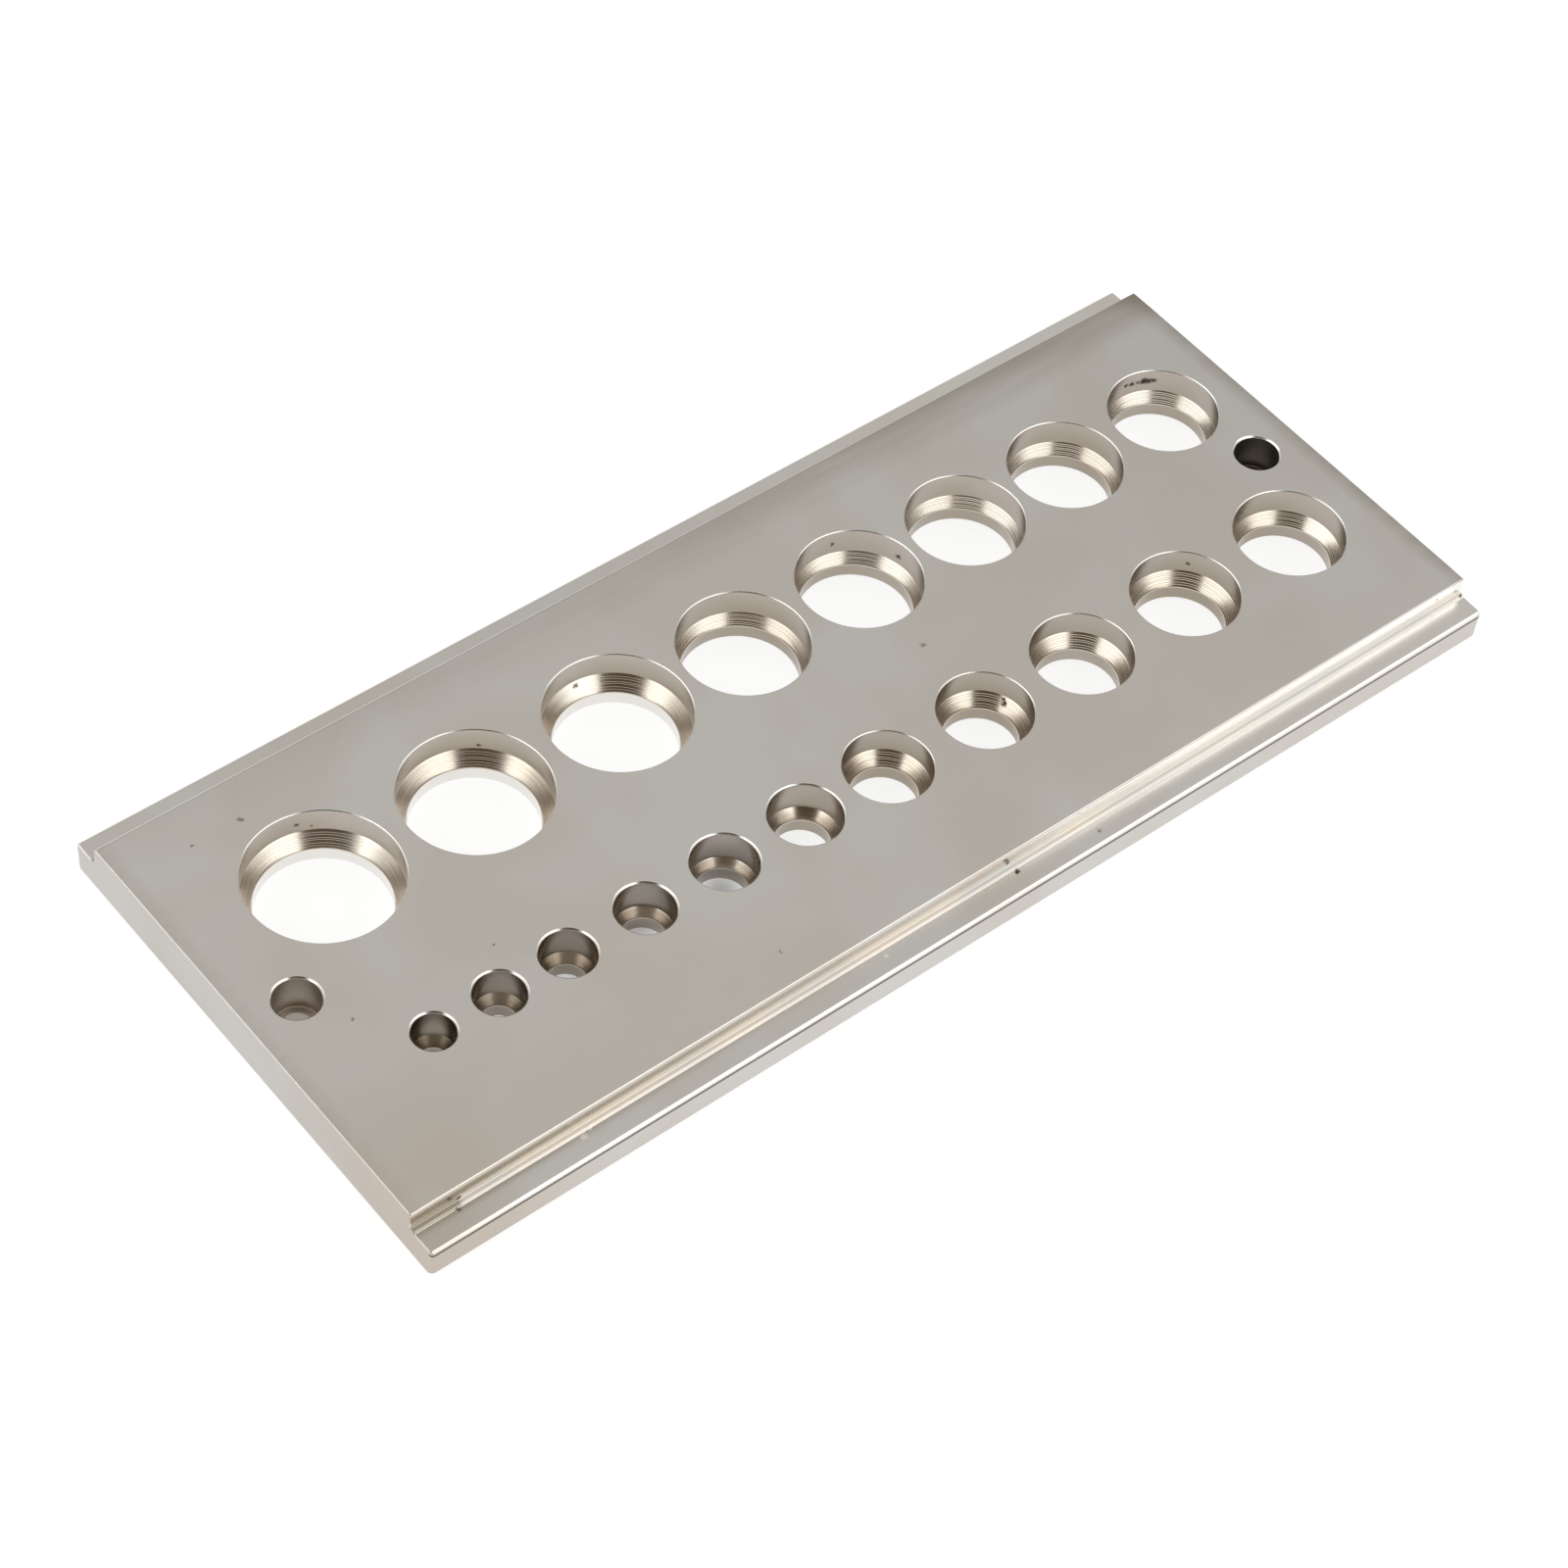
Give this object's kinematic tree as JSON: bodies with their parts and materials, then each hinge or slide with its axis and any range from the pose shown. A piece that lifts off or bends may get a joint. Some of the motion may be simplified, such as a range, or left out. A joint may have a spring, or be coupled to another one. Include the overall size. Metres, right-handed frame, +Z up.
{
  "type": "dowel plate",
  "caption": "Flat nickel-plated steel dowel plate with two rows of graded, stepped holes, a rebated rail along each side and a screw hole at each end.",
  "frame": {"origin": "centre of the underside", "axes": "+X along the plate's length towards the smaller back holes, +Z up out of the face that the holes open on"},
  "size_m": [0.152, 0.0658, 0.007],
  "materials": {
    "plate": "satin nickel plate over ground and milled steel, with turned rings in the hole seats"
  },
  "bodies": {
    "root": {"plate": "plate"}
  },
  "joints": []
}
